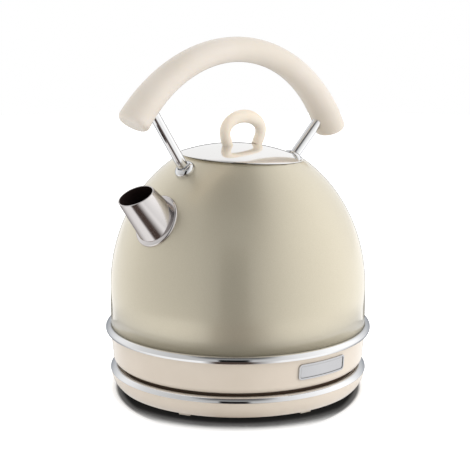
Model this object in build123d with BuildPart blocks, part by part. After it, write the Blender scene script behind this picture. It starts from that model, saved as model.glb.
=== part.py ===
import os
from math import asin, cos, degrees, radians, sin, sqrt, tan

from build123d import *

# Cordless dome kettle standing on its round power base.
# +Z is up and the origin lies on the dome's axis, in the plane the feet stand on.
# The spout points along -X, the handle lies in the XZ plane, the badge faces -Y
# and the switch and the base's cord bush are at the back, on +X.

# ---- fits and gaps ----
seat_gap = 0.3
slip_gap = 0.1
thread_gap = 0.05

# ---- dome ----
body_radius = 100.0
dome_spring_z = 79.8
dome_rise = 116.0
dome_wall = 1.2
dome_sweep = 72.0
dome_points = 8
dome_foot_z = 48.0

# ---- lid opening, tipped towards the back ----
mouth_x = 3.8
mouth_tip = 4.5
mouth_seat_radius = 47.6
mouth_ledge_width = 5.6
mouth_bore_radius = mouth_seat_radius - mouth_ledge_width
mouth_neck_depth = 9.0
mouth_neck_wall = 1.2
mouth_ledge = 1.4

# ---- trim ring round the foot of the dome ----
trim_bead_radius = 3.2
trim_bead_inset = 1.0
trim_flange_width = 4.0
trim_flange_thickness = 2.0

# ---- skirt under the trim ring ----
skirt_stand_out = 0.3
skirt_taper = 2.3
skirt_top_radius = body_radius + skirt_stand_out
skirt_foot_radius = skirt_top_radius - skirt_taper
skirt_foot_z = 20.8
skirt_foot_width = 5.0
skirt_foot_flat = 0.02
skirt_wall = 2.4
skirt_flange_width = 14.0
skirt_flange_z = 24.2

# ---- kettle underside ----
cover_radius = skirt_foot_radius - skirt_foot_width - seat_gap
cover_wall = 2.0
cover_rim_width = 9.0
cover_recess = 1.6
cover_screw_count = 3
cover_screw_turn = 40.0

# ---- power base ----
foot_height = 2.0
foot_count = 6
foot_length = 9.0
foot_width = 7.0
foot_inset = 6.3
foot_turn = 21.5
foot_peg = 1.2
base_wall = 2.2
base_rim_wall = 2.0
base_deck_z = 17.0
base_ring_z = 14.9
base_ring_gap = 3.2
base_ring_width = 4.9
base_ring_height = 4.2
base_ring_stand_out = 0.6
ring_seat_radius = cover_radius + base_ring_gap
base_shoulder_radius = ring_seat_radius + base_ring_width - base_ring_stand_out
base_undercut = 5.9
base_foot_radius = base_shoulder_radius - base_undercut
foot_ring_radius = base_foot_radius - foot_inset
base_plate_thickness = 2.0
base_screw_count = 3
base_screw_radius = 62.0
cover_foot_z = base_deck_z + seat_gap
boss_radius = 4.2

# ---- screws ----
screw_radius = 1.5
screw_head_radius = 3.0
screw_head_height = 1.6
screw_length = 9.0

# ---- cordless connector ----
turret_radius = 13.5
turret_top_z = 28.4
turret_flange_radius = 26.0
turret_flange_thickness = 3.0
turret_slot_radius = 8.0
turret_slot_width = 3.0
turret_slot_depth = 9.0
turret_pin_hole_radius = 3.2
contact_wall = 0.6
contact_height = 6.3
turn_ring_width = 3.4
turn_ring_lip = 0.6
socket_radius = 21.0
socket_wall_gap = 0.7
socket_foot_z = 18.2
socket_top_z = 31.0
pin_radius = 1.6
blade_wall = 0.8

# ---- cord bush in the base wall ----
bush_z = 8.5
bush_radius = 4.4
bush_bore_radius = 3.3
bush_collar_radius = 5.0
bush_length = 12.0
bush_stand_out = 1.6

# ---- heating plate, element and control ----
plate_thickness = 1.6
plate_z = 50.2
seal_width = 2.2
seal_height = 3.6
spreader_radius = 63.0
spreader_thickness = 3.0
element_tube_radius = 3.3
element_ring_inset = 2.0
element_ring_radius = spreader_radius - element_tube_radius - element_ring_inset
element_opening = 50.0
control_radius = 34.0
steam_tube_radius = 4.0
steam_tube_wall = 0.6
steam_tube_gap = 3.0
steam_tube_x = spreader_radius + steam_tube_gap + steam_tube_radius
steam_tube_drop = 7.8
steam_tube_outlet = 4.0

# ---- spout ----
spout_foot_share = 0.836
spout_rise = 48.4
spout_lip_tip = 16.4
spout_mouth_radius = 13.5
spout_foot_radius = 16.6
spout_length = 28.3
spout_overrun = 12.0
spout_wall = 1.0
spout_flange_radius = 20.5
spout_flange_thickness = 2.0
spout_flange_round = 0.9
spout_flange_crown = 108.0
spout_flange_depth = 6.0

# ---- removable spout filter ----
filter_radius = 17.4
filter_thickness = 1.6
filter_frame_width = 2.2
filter_bar_width = 1.0
filter_bar_pitch = 4.0
filter_wall_gap = 0.5

# ---- handle posts and collars ----
front_post_share = 0.5375
front_post_tilt = 33.25
rear_post_share = 0.585
rear_post_tilt = 46.75
post_radius = 4.1
spigot_radius = 2.5
spigot_length = 8.0
collar_radius = 7.8
collar_height = 4.8
collar_round = 3.4
nut_radius = 4.6
nut_height = 3.2
nut_back = 2.0

# ---- grip ----
grip_centre_x = -8.5
grip_centre_z = 145.1
grip_arc_share = 1.203
grip_arc_radius = body_radius * grip_arc_share
grip_front_angle = 143.0
grip_rear_angle = 23.0
grip_mid_height = 9.6
grip_end_height = 12.0
grip_mid_width = 10.5
grip_end_width = 13.4
grip_end_round = 4.0
grip_sections = 9
grip_socket_depth = 12.0

# ---- lid ----
lid_overhang = 0.4
lid_radius = mouth_seat_radius + lid_overhang
lid_crown_radius = 129.0
lid_wall = 1.2
lid_edge = 1.6
lid_edge_height = 1.25
plug_gap = 1.4
plug_radius = mouth_bore_radius - plug_gap
plug_wall = 1.4
plug_depth = 8.0
lid_seal_height = 3.0
lid_seal_z = -5.0

# ---- lid knob ----
knob_half_width = 18.7
knob_foot_half_width = 14.4
knob_waist_z = 19.8
knob_top_z = 31.3
knob_top_thickness = 5.1
knob_leg_thickness = 3.7
knob_depth = 4.1
knob_sections = 13

# ---- badge ----
badge_angle = -92.5
badge_z = 35.2
badge_width = 45.5
badge_height = 12.2
badge_corner = 2.8
badge_thickness = 1.2
badge_rim = 1.3
badge_recess = 0.4

# ---- switch ----
switch_pivot_inset = 12.3
switch_pivot_x = skirt_top_radius - switch_pivot_inset
switch_z = 34.0
switch_width = 22.0
switch_thickness = 5.0
switch_stand_out = 14.6
switch_reach = skirt_top_radius + switch_stand_out
switch_side_gap = 0.5
switch_top_gap = 0.5
switch_low_gap = 0.7
switch_travel = 14.0
switch_barrel_radius = 3.6
switch_pin_radius = 1.5
switch_tip_round = 2.4
bracket_wall = 2.0
lens_radius = 2.6
lens_height = 0.9


def dome_z(radius):
    return dome_spring_z + dome_rise * sqrt(1 - (radius / body_radius) ** 2)


def dome_normal_tilt(x, z):
    """Direction of the outward normal of the dome in the XZ plane."""
    return Vector(x / body_radius**2, 0, (z - dome_spring_z) / dome_rise**2).normalized()


def tipped(angle, sign):
    """Unit vector leaning from +Z by an angle towards +X (sign 1) or -X (sign -1)."""
    return Vector(sign * sin(radians(angle)), 0, cos(radians(angle)))


def save(piece, name):
    piece.part.label = name
    export_step(piece.part, f"parts/{name}.step")


def dome_solid(grow, foot_z):
    """Solid of revolution with the dome's outline, grown outwards by one distance."""
    radius = body_radius + grow
    rise = dome_rise + grow
    sweep = [radians(dome_sweep * k / dome_points) for k in range(dome_points + 1)]
    crown = [(radius * cos(turn), dome_spring_z + rise * sin(turn)) for turn in sweep]
    end_run = (-radius * sin(sweep[-1]), rise * cos(sweep[-1]))
    with BuildPart() as solid:
        with BuildSketch(Plane.YZ):
            with BuildLine():
                Spline(crown, tangents=[(0, 1), end_run])
                Polyline(
                    crown[-1],
                    (0, crown[-1][1]),
                    (0, foot_z),
                    (radius, foot_z),
                    (radius, dome_spring_z),
                )
            make_face()
        revolve(axis=Axis.Z)
    return solid.part


os.makedirs("parts", exist_ok=True)

mouth_z = dome_z(mouth_seat_radius)
mouth_up = tipped(mouth_tip, 1)
mouth_plane = Plane(origin=(mouth_x, 0, mouth_z), x_dir=(mouth_up.Z, 0, -mouth_up.X), z_dir=mouth_up)
mouth_cross_section = Plane(origin=mouth_plane.origin, x_dir=(0, 1, 0), z_dir=mouth_plane.x_dir)
mouth_axis = Axis(mouth_plane.origin, mouth_plane.z_dir)

dome_outside = dome_solid(0, dome_foot_z)
dome_block = dome_solid(0, foot_height)

# ================= power base =================
base_plate_radius = base_foot_radius - base_rim_wall - slip_gap
base_plate_top_z = foot_height + base_plate_thickness
deck_under_z = base_deck_z - base_wall
turn_ring_radius = turret_radius + seat_gap + turn_ring_width
deck_bore_radius = turn_ring_radius + seat_gap

# Moulded base cover: a rounded side wall, a ledge for the bright ring and a flat deck
# with the connector's hole in the middle, hollow from below, with screw bosses.
with BuildPart() as base_cover:
    with BuildSketch(Plane.YZ):
        with BuildLine():
            Polyline(
                (deck_bore_radius, base_deck_z),
                (ring_seat_radius, base_deck_z),
                (ring_seat_radius, base_ring_z),
                (base_shoulder_radius, base_ring_z),
            )
            TangentArc(
                (base_shoulder_radius, base_ring_z),
                (base_foot_radius, foot_height),
                tangent=(0, -1),
            )
            Line((base_foot_radius, foot_height), (base_foot_radius - base_rim_wall, foot_height))
            TangentArc(
                (base_shoulder_radius - base_wall, deck_under_z - base_wall),
                (base_foot_radius - base_rim_wall, foot_height),
                tangent=(0, -1),
            )
            Polyline(
                (base_shoulder_radius - base_wall, deck_under_z - base_wall),
                (ring_seat_radius - base_wall, deck_under_z),
                (deck_bore_radius, deck_under_z),
                (deck_bore_radius, base_deck_z),
            )
        make_face()
    revolve(axis=Axis.Z)
    with BuildSketch(Plane.XY.offset(base_plate_top_z)):
        with PolarLocations(base_screw_radius, base_screw_count):
            Circle(boss_radius)
    extrude(amount=base_deck_z - base_wall / 2 - base_plate_top_z)
    with BuildSketch(Plane.XY.offset(base_plate_top_z)):
        with PolarLocations(base_screw_radius, base_screw_count):
            Circle(screw_radius + thread_gap)
    extrude(amount=screw_length, mode=Mode.SUBTRACT)
    with BuildSketch(Plane.YZ.offset(base_foot_radius - base_rim_wall - base_wall)):
        with Locations((0, bush_z)):
            Circle(bush_radius + slip_gap)
    extrude(amount=base_wall + base_rim_wall + bush_length, mode=Mode.SUBTRACT)
save(base_cover, "base_cover")

# Bright ring pressed into the ledge round the deck, its outer face a quarter ellipse.
with BuildPart() as base_trim_ring:
    with BuildSketch(Plane.XZ):
        with BuildLine():
            Line((ring_seat_radius, base_ring_z), (ring_seat_radius + base_ring_width, base_ring_z))
            EllipticalCenterArc(
                (ring_seat_radius, base_ring_z), base_ring_width, base_ring_height, arc_size=90
            )
            Line((ring_seat_radius, base_ring_z + base_ring_height), (ring_seat_radius, base_ring_z))
        make_face()
    revolve(axis=Axis.Z)
save(base_trim_ring, "base_trim_ring")

# Flat bottom plate inside the cover's rim, with sunk screw holes and foot pockets.
with BuildPart() as base_plate:
    with BuildSketch(Plane.XY.offset(foot_height)):
        Circle(base_plate_radius)
        with PolarLocations(base_screw_radius, base_screw_count):
            Circle(screw_radius + slip_gap, mode=Mode.SUBTRACT)
    extrude(amount=base_plate_thickness)
    with BuildSketch(Plane.XY.offset(foot_height)):
        with PolarLocations(foot_ring_radius, foot_count, start_angle=foot_turn):
            Rectangle(foot_width, foot_length)
    extrude(amount=foot_peg, mode=Mode.SUBTRACT)
    with BuildSketch(Plane.XY.offset(foot_height)):
        with PolarLocations(base_screw_radius, base_screw_count):
            Circle(screw_head_radius + slip_gap)
    extrude(amount=screw_head_height, mode=Mode.SUBTRACT)
save(base_plate, "base_plate")

# Rubber feet glued into the plate's pockets.
with BuildPart() as base_feet:
    with BuildSketch(Plane.XY):
        with PolarLocations(foot_ring_radius, foot_count, start_angle=foot_turn):
            Rectangle(foot_width, foot_length)
    extrude(amount=foot_height + foot_peg)
save(base_feet, "base_feet")

# Screws that hold the plate up to the cover's bosses.
with BuildPart() as base_screws:
    with BuildSketch(Plane.XY.offset(foot_height)):
        with PolarLocations(base_screw_radius, base_screw_count):
            Circle(screw_head_radius)
    extrude(amount=screw_head_height)
    with BuildSketch(Plane.XY.offset(foot_height + screw_head_height)):
        with PolarLocations(base_screw_radius, base_screw_count):
            Circle(screw_radius)
    extrude(amount=screw_length)
save(base_screws, "base_screws")

# Connector turret: a flange under the deck and a round post through it,
# with a middle hole for the kettle's pin and a ring slot for its blade.
turret_flange_z = deck_under_z - turret_flange_thickness
with BuildPart() as base_connector:
    with BuildSketch(Plane.XY.offset(turret_flange_z)):
        Circle(turret_flange_radius)
    extrude(amount=turret_flange_thickness)
    with BuildSketch(Plane.XY.offset(deck_under_z)):
        Circle(turret_radius)
    extrude(amount=turret_top_z - deck_under_z)
    top_edges = base_connector.faces().sort_by(Axis.Z)[-1].edges()
    chamfer(top_edges, length=blade_wall)
    with BuildSketch(Plane.XY.offset(turret_top_z)):
        Circle(turret_slot_radius + turret_slot_width / 2)
        Circle(turret_slot_radius - turret_slot_width / 2, mode=Mode.SUBTRACT)
        Circle(turret_pin_hole_radius)
    extrude(amount=-turret_slot_depth, mode=Mode.SUBTRACT)
save(base_connector, "base_connector")

# Spring contacts lying against the outer walls of the pin hole and the ring slot.
with BuildPart() as base_contacts:
    with BuildSketch(Plane.XY.offset(turret_top_z - turret_slot_depth)):
        Circle(turret_pin_hole_radius)
        Circle(turret_pin_hole_radius - contact_wall, mode=Mode.SUBTRACT)
        Circle(turret_slot_radius + turret_slot_width / 2)
        Circle(turret_slot_radius + turret_slot_width / 2 - contact_wall, mode=Mode.SUBTRACT)
    extrude(amount=contact_height)
save(base_contacts, "base_contacts")

# Loose ring round the turret that the kettle's socket stands over and turns.
with BuildPart() as turn_ring:
    with BuildSketch(Plane.XY.offset(deck_under_z + slip_gap)):
        Circle(turn_ring_radius)
        Circle(turret_radius + seat_gap, mode=Mode.SUBTRACT)
    extrude(amount=base_wall - slip_gap + turn_ring_lip)
save(turn_ring, "turn_ring")

# Bush in the back wall for the supply cord, with a collar outside the wall.
bush_out_x = base_shoulder_radius + bush_stand_out
with BuildPart() as cord_bush:
    with BuildSketch(Plane.YZ.offset(bush_out_x - bush_length)):
        with Locations((0, bush_z)):
            Circle(bush_radius)
    extrude(amount=bush_length)
    with BuildSketch(Plane.YZ.offset(base_shoulder_radius + slip_gap)):
        with Locations((0, bush_z)):
            Circle(bush_collar_radius)
    extrude(amount=bush_stand_out - slip_gap)
    with BuildSketch(Plane.YZ.offset(bush_out_x)):
        with Locations((0, bush_z)):
            Circle(bush_bore_radius)
    extrude(amount=-bush_length, mode=Mode.SUBTRACT)
save(cord_bush, "cord_bush")

# ================= kettle: trim ring, skirt and underside =================
# Bead round the foot of the dome, with a flange that goes in under the dome's edge.
skirt_top_z = dome_foot_z - trim_flange_thickness
with BuildPart() as dome_trim_ring:
    with BuildSketch(Plane.XZ):
        with Locations((body_radius + trim_bead_inset, dome_foot_z)):
            Circle(trim_bead_radius)
        with Locations((body_radius / 2, dome_foot_z)):
            Rectangle(body_radius, trim_bead_radius * 3, mode=Mode.SUBTRACT)
        with Locations((body_radius, skirt_top_z)):
            Rectangle(
                body_radius / 2,
                trim_bead_radius * 3,
                align=(Align.CENTER, Align.MAX),
                mode=Mode.SUBTRACT,
            )
        with Locations((body_radius - trim_flange_width, skirt_top_z)):
            Rectangle(
                trim_flange_width + trim_bead_inset,
                trim_flange_thickness,
                align=(Align.MIN, Align.MIN),
            )
    revolve(axis=Axis.Z)
save(dome_trim_ring, "dome_trim_ring")

# Skirt: slightly tapered wall, rounded at the foot, with an inner flange that
# carries the bottom cover and the switch bracket, and a slot for the switch lever.
flange_inner_radius = skirt_foot_radius - skirt_flange_width - skirt_wall
cover_screw_radius = flange_inner_radius + boss_radius
switch_drop = (skirt_top_radius - switch_pivot_x) * tan(radians(switch_travel))
switch_slot_height = switch_thickness + switch_top_gap + switch_drop + switch_low_gap
with BuildPart() as lower_skirt:
    with BuildSketch(Plane.YZ):
        with BuildLine():
            FilletPolyline(
                (skirt_top_radius, skirt_top_z),
                (skirt_foot_radius, skirt_foot_z),
                (cover_radius + seat_gap, skirt_foot_z),
                radius=skirt_foot_width - skirt_foot_flat,
            )
            Polyline(
                (cover_radius + seat_gap, skirt_foot_z),
                (cover_radius + seat_gap, skirt_flange_z),
                (flange_inner_radius, skirt_flange_z),
                (flange_inner_radius, skirt_flange_z + skirt_wall),
                (skirt_foot_radius - skirt_wall, skirt_flange_z + skirt_wall),
                (skirt_top_radius - skirt_wall, skirt_top_z),
                (skirt_top_radius, skirt_top_z),
            )
        make_face()
    revolve(axis=Axis.Z)
    with BuildSketch(Plane.YZ.offset(switch_pivot_x + switch_barrel_radius)):
        with Locations((0, switch_z + switch_thickness / 2 + switch_top_gap)):
            Rectangle(
                switch_width + 2 * switch_side_gap,
                switch_slot_height,
                align=(Align.CENTER, Align.MAX),
            )
    extrude(amount=skirt_top_radius - switch_pivot_x, mode=Mode.SUBTRACT)
    with BuildSketch(Plane.XY.offset(skirt_flange_z)):
        with PolarLocations(cover_screw_radius, cover_screw_count, start_angle=cover_screw_turn):
            Circle(screw_radius + thread_gap)
    extrude(amount=skirt_wall, mode=Mode.SUBTRACT)
save(lower_skirt, "lower_skirt")

# Bare bright badge plate with a raised rim, curved to the skirt.
taper = (skirt_top_radius - skirt_foot_radius) / (skirt_top_z - skirt_foot_z)
badge_low_z = badge_z - badge_height
badge_high_z = badge_z + badge_height


def skirt_skin(inner, outer):
    """Shell that follows the skirt's outside between two distances from it."""
    low = skirt_foot_radius + (badge_low_z - skirt_foot_z) * taper
    high = skirt_foot_radius + (badge_high_z - skirt_foot_z) * taper
    with BuildPart() as skin:
        with BuildSketch(Plane.YZ):
            with BuildLine():
                Polyline(
                    (low + inner, badge_low_z),
                    (low + outer, badge_low_z),
                    (high + outer, badge_high_z),
                    (high + inner, badge_high_z),
                    close=True,
                )
            make_face()
        revolve(axis=Axis.Z)
    return skin.part


badge_direction = Vector(cos(radians(badge_angle)), sin(radians(badge_angle)), 0)
badge_plane = Plane(
    origin=badge_direction * (skirt_foot_radius - badge_height) + Vector(0, 0, badge_z),
    x_dir=(-badge_direction.Y, badge_direction.X, 0),
    z_dir=badge_direction,
)
with BuildPart() as badge_plate:
    with BuildSketch(badge_plane):
        RectangleRounded(badge_width, badge_height, badge_corner)
    extrude(amount=badge_width)
    add(skirt_skin(0, badge_thickness), mode=Mode.INTERSECT)
with BuildPart() as badge_field:
    with BuildSketch(badge_plane):
        RectangleRounded(
            badge_width - 2 * badge_rim, badge_height - 2 * badge_rim, badge_corner - badge_rim
        )
    extrude(amount=badge_width)
    add(skirt_skin(badge_thickness - badge_recess, badge_thickness * 2), mode=Mode.INTERSECT)
with badge_plate:
    add(badge_field.part, mode=Mode.SUBTRACT)
save(badge_plate, "badge_plate")

# Dark bottom cover: a shallow tray that stands on the base's deck by its outer rim.
with BuildPart() as bottom_cover:
    with BuildSketch(Plane.XZ):
        with BuildLine():
            Polyline(
                (cover_radius, cover_foot_z),
                (cover_radius, skirt_flange_z),
                (cover_radius - cover_wall, skirt_flange_z),
                (cover_radius - cover_wall, cover_foot_z + cover_recess + cover_wall),
                (socket_radius + seat_gap, cover_foot_z + cover_recess + cover_wall),
                (socket_radius + seat_gap, cover_foot_z + cover_recess),
                (cover_radius - cover_rim_width, cover_foot_z + cover_recess),
                (cover_radius - cover_rim_width + cover_recess, cover_foot_z),
                close=True,
            )
        make_face()
    revolve(axis=Axis.Z)
    with BuildSketch(Plane.XY.offset(cover_foot_z + cover_recess)):
        with PolarLocations(cover_screw_radius, cover_screw_count, start_angle=cover_screw_turn):
            Circle(boss_radius)
    extrude(amount=skirt_flange_z - cover_foot_z - cover_recess)
    with BuildSketch(Plane.XY.offset(cover_foot_z)):
        with PolarLocations(cover_screw_radius, cover_screw_count, start_angle=cover_screw_turn):
            Circle(screw_radius + slip_gap)
    extrude(amount=skirt_flange_z, mode=Mode.SUBTRACT)
    with BuildSketch(Plane.XY.offset(cover_foot_z)):
        with PolarLocations(cover_screw_radius, cover_screw_count, start_angle=cover_screw_turn):
            Circle(screw_head_radius + slip_gap)
    extrude(amount=cover_recess + screw_head_height, mode=Mode.SUBTRACT)
save(bottom_cover, "bottom_cover")

# Screws from below through the bottom cover into the skirt's flange.
with BuildPart() as cover_screws:
    with BuildSketch(Plane.XY.offset(cover_foot_z + cover_recess)):
        with PolarLocations(cover_screw_radius, cover_screw_count, start_angle=cover_screw_turn):
            Circle(screw_head_radius)
    extrude(amount=screw_head_height)
    with BuildSketch(Plane.XY.offset(cover_foot_z + cover_recess + screw_head_height)):
        with PolarLocations(cover_screw_radius, cover_screw_count, start_angle=cover_screw_turn):
            Circle(screw_radius)
    extrude(amount=skirt_flange_z + skirt_wall - cover_foot_z - cover_recess - screw_head_height)
save(cover_screws, "cover_screws")

# ================= kettle: connector, element and plate =================
# Socket that drops over the turret: a deep cup, open below, with a flange on top.
socket_bore_radius = turret_radius + socket_wall_gap
socket_roof_z = turret_top_z + socket_wall_gap
with BuildPart() as kettle_connector:
    with BuildSketch(Plane.XY.offset(socket_foot_z)):
        Circle(socket_radius)
    extrude(amount=socket_top_z - socket_foot_z)
    with BuildSketch(Plane.XY.offset(socket_foot_z)):
        Circle(socket_bore_radius)
    extrude(amount=socket_roof_z - socket_foot_z, mode=Mode.SUBTRACT)
    foot_edges = kettle_connector.faces().sort_by(Axis.Z)[0].edges()
    chamfer(foot_edges, length=socket_wall_gap)
save(kettle_connector, "kettle_connector")

# Pin and round blade that reach down into the turret's hole and slot.
contact_reach = turret_slot_depth - socket_wall_gap
with BuildPart() as kettle_contacts:
    with BuildSketch(Plane.XY.offset(socket_roof_z)):
        Circle(pin_radius)
        Circle(turret_slot_radius + blade_wall / 2)
        Circle(turret_slot_radius - blade_wall / 2, mode=Mode.SUBTRACT)
        Circle(pin_radius)
    extrude(amount=-contact_reach)
save(kettle_contacts, "kettle_contacts")

# Control block with the thermostat, clamped under the heat spreader.
spreader_foot_z = plate_z - spreader_thickness
with BuildPart() as thermostat_control:
    with BuildSketch(Plane.XY.offset(socket_top_z)):
        Circle(control_radius)
        with Locations((control_radius, 0)):
            Rectangle(control_radius, control_radius)
    extrude(amount=spreader_foot_z - socket_top_z)
save(thermostat_control, "thermostat_control")

# Cast heat spreader under the plate.
with BuildPart() as heat_spreader:
    with BuildSketch(Plane.XY.offset(spreader_foot_z)):
        Circle(spreader_radius)
    extrude(amount=spreader_thickness)
save(heat_spreader, "heat_spreader")

# Sheathed element: an open ring of tube against the spreader, opening to the back.
element_z = spreader_foot_z - element_tube_radius
with BuildPart() as heating_element:
    with BuildLine(Plane.XY.offset(element_z)) as element_path:
        CenterArc((0, 0), element_ring_radius, element_opening / 2, 360 - element_opening)
    with BuildSketch(Plane(element_path.line @ 0, z_dir=element_path.line % 0)):
        Circle(element_tube_radius)
    sweep(path=element_path.line)
save(heating_element, "heating_element")

# Steel floor of the vessel.
plate_radius = body_radius - dome_wall - seal_width - slip_gap
with BuildPart() as heating_plate:
    with BuildSketch(Plane.XY.offset(plate_z)):
        Circle(plate_radius)
        with Locations((steam_tube_x, 0)):
            Circle(steam_tube_radius + slip_gap, mode=Mode.SUBTRACT)
    extrude(amount=plate_thickness)
save(heating_plate, "heating_plate")

# Silicone ring squeezed between the plate's edge and the dome's wall.
with BuildPart() as plate_seal:
    with BuildSketch(Plane.XY.offset(plate_z + plate_thickness - seal_height / 2 - plate_thickness / 2)):
        Circle(plate_radius + seal_width)
        Circle(plate_radius, mode=Mode.SUBTRACT)
    extrude(amount=seal_height)
save(plate_seal, "plate_seal")

# Tube that leads steam from under the lid down through the plate to the switch.
steam_tube_top_z = dome_z(steam_tube_x + steam_tube_radius) - steam_tube_drop
with BuildPart() as steam_tube:
    with BuildSketch(Plane.XY.offset(plate_z - steam_tube_outlet)):
        with Locations((steam_tube_x, 0)):
            Circle(steam_tube_radius)
            Circle(steam_tube_radius - steam_tube_wall, mode=Mode.SUBTRACT)
    extrude(amount=steam_tube_top_z - plate_z + steam_tube_outlet)
save(steam_tube, "steam_tube")

# ================= spout =================
spout_out = Vector(-cos(radians(spout_rise)), 0, sin(radians(spout_rise)))
spout_foot_x = -body_radius * spout_foot_share
spout_foot = Vector(spout_foot_x, 0, dome_z(spout_foot_x))
spout_mouth = spout_foot + spout_out * spout_length
spout_normal = dome_normal_tilt(spout_foot.X, spout_foot.Z)
spout_side = Vector(0, 1, 0)
cone_slope = (spout_foot_radius - spout_mouth_radius) / spout_length


def cone_radius(distance):
    """Outside radius of the spout at a distance along its axis from its foot."""
    return spout_foot_radius - cone_slope * distance


def spout_plane(distance):
    """Plane square to the spout's axis at a distance from its foot."""
    return Plane(origin=spout_foot + spout_out * distance, x_dir=spout_side, z_dir=spout_out)


lip_up = Vector(
    -cos(radians(spout_rise + spout_lip_tip)), 0, sin(radians(spout_rise + spout_lip_tip))
)
lip_plane = Plane(origin=spout_mouth, x_dir=spout_side, z_dir=lip_up)

# Tapered steel tube, scribed to the dome at its foot and cut aslant at its lip.
with BuildPart() as spout_tube:
    for end in (-spout_overrun, spout_length + spout_overrun):
        with BuildSketch(spout_plane(end)):
            Circle(cone_radius(end))
    loft()
    for end in (-spout_overrun, spout_length + spout_overrun):
        with BuildSketch(spout_plane(end)):
            Circle(cone_radius(end) - spout_wall)
    loft(mode=Mode.SUBTRACT)
    split(bisect_by=lip_plane, keep=Keep.BOTTOM)
    add(dome_block, mode=Mode.SUBTRACT)
save(spout_tube, "spout_tube")

# Turned flange round the foot of the tube, scribed to the dome underneath.
flange_section = Plane(origin=spout_foot, x_dir=spout_side, z_dir=spout_side.cross(spout_normal))
flange_drop = spout_flange_crown - sqrt(spout_flange_crown**2 - spout_flange_radius**2)
flange_edge_z = spout_flange_thickness - flange_drop
with BuildPart() as spout_flange:
    with BuildSketch(flange_section) as flange_face:
        with BuildLine():
            RadiusArc(
                (0, spout_flange_thickness), (spout_flange_radius, flange_edge_z), spout_flange_crown
            )
            Polyline(
                (spout_flange_radius, flange_edge_z),
                (spout_flange_radius, -spout_flange_depth),
                (0, -spout_flange_depth),
                (0, spout_flange_thickness),
            )
        make_face()
        fillet(flange_face.vertices().sort_by(Axis.X)[-2:].sort_by(Axis.Y)[-1], spout_flange_round)
    revolve(axis=Axis(spout_foot, spout_normal))
    add(dome_block, mode=Mode.SUBTRACT)
    for end in (-spout_overrun, spout_length + spout_overrun):
        with BuildSketch(spout_plane(end)):
            Circle(cone_radius(end) + slip_gap / 2)
    loft(mode=Mode.SUBTRACT)
save(spout_flange, "spout_flange")

# ================= dome =================
# Inside of the vessel, closed above by the flat ledge round the lid's opening.
with BuildPart() as cavity:
    add(dome_solid(-dome_wall, foot_height))
    split(bisect_by=mouth_plane.offset(-mouth_ledge), keep=Keep.BOTTOM)

front_post_x = -body_radius * front_post_share
rear_post_x = body_radius * rear_post_share
front_post_foot = Vector(front_post_x, 0, dome_z(front_post_x))
rear_post_foot = Vector(rear_post_x, 0, dome_z(rear_post_x))
front_post_up = tipped(front_post_tilt, -1)
rear_post_up = tipped(rear_post_tilt, 1)
posts = {
    "front": (front_post_foot, front_post_up),
    "rear": (rear_post_foot, rear_post_up),
}

with BuildPart() as body_shell:
    add(dome_outside)
    split(bisect_by=mouth_plane, keep=Keep.BOTTOM)
    add(cavity.part, mode=Mode.SUBTRACT)
    with BuildSketch(mouth_plane.offset(-mouth_neck_depth)):
        Circle(mouth_bore_radius + mouth_neck_wall)
    extrude(amount=mouth_neck_depth)
    with BuildSketch(mouth_plane.offset(-mouth_neck_depth)):
        Circle(mouth_bore_radius)
    extrude(amount=mouth_neck_depth + mouth_ledge, mode=Mode.SUBTRACT)
    with BuildSketch(spout_plane(-spout_overrun)):
        Circle(spout_foot_radius - spout_wall)
    extrude(amount=spout_overrun * 2, mode=Mode.SUBTRACT)
    for foot, up in posts.values():
        with BuildSketch(Plane(origin=foot, x_dir=(0, 1, 0), z_dir=up)):
            Circle(spigot_radius + slip_gap)
        extrude(amount=spigot_length, both=True, mode=Mode.SUBTRACT)
save(body_shell, "body_shell")

# Filter behind the spout: a round frame with parallel bars, clipped to the wall.
filter_back = dome_wall + filter_wall_gap + filter_radius**2 / (2 * body_radius)
filter_plane = Plane(
    origin=spout_foot - spout_normal * filter_back, x_dir=spout_side, z_dir=-spout_normal
)
bar_count = int((filter_radius - filter_frame_width) * 2 // filter_bar_pitch)
with BuildPart() as spout_filter:
    with BuildSketch(filter_plane):
        Circle(filter_radius)
        Circle(filter_radius - filter_frame_width, mode=Mode.SUBTRACT)
        with GridLocations(filter_bar_pitch, 1, bar_count, 1):
            Rectangle(filter_bar_width, (filter_radius - filter_frame_width) * 2)
        Circle(filter_radius, mode=Mode.INTERSECT)
    extrude(amount=filter_thickness)
save(spout_filter, "spout_filter")

# ================= handle =================
grip_centre = Vector(grip_centre_x, 0, grip_centre_z)


def grip_radial(angle):
    """Unit vector from the grip arc's centre at an angle above +X."""
    return Vector(cos(radians(angle)), 0, sin(radians(angle)))


def post_length(foot, up):
    """Distance along a post from the dome to the depth of its socket in the grip."""
    start = foot - grip_centre
    inner = grip_arc_radius - grip_end_height
    along = start.dot(up)
    reach = -along + sqrt(along**2 - start.dot(start) + inner**2)
    return reach + grip_socket_depth


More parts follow.
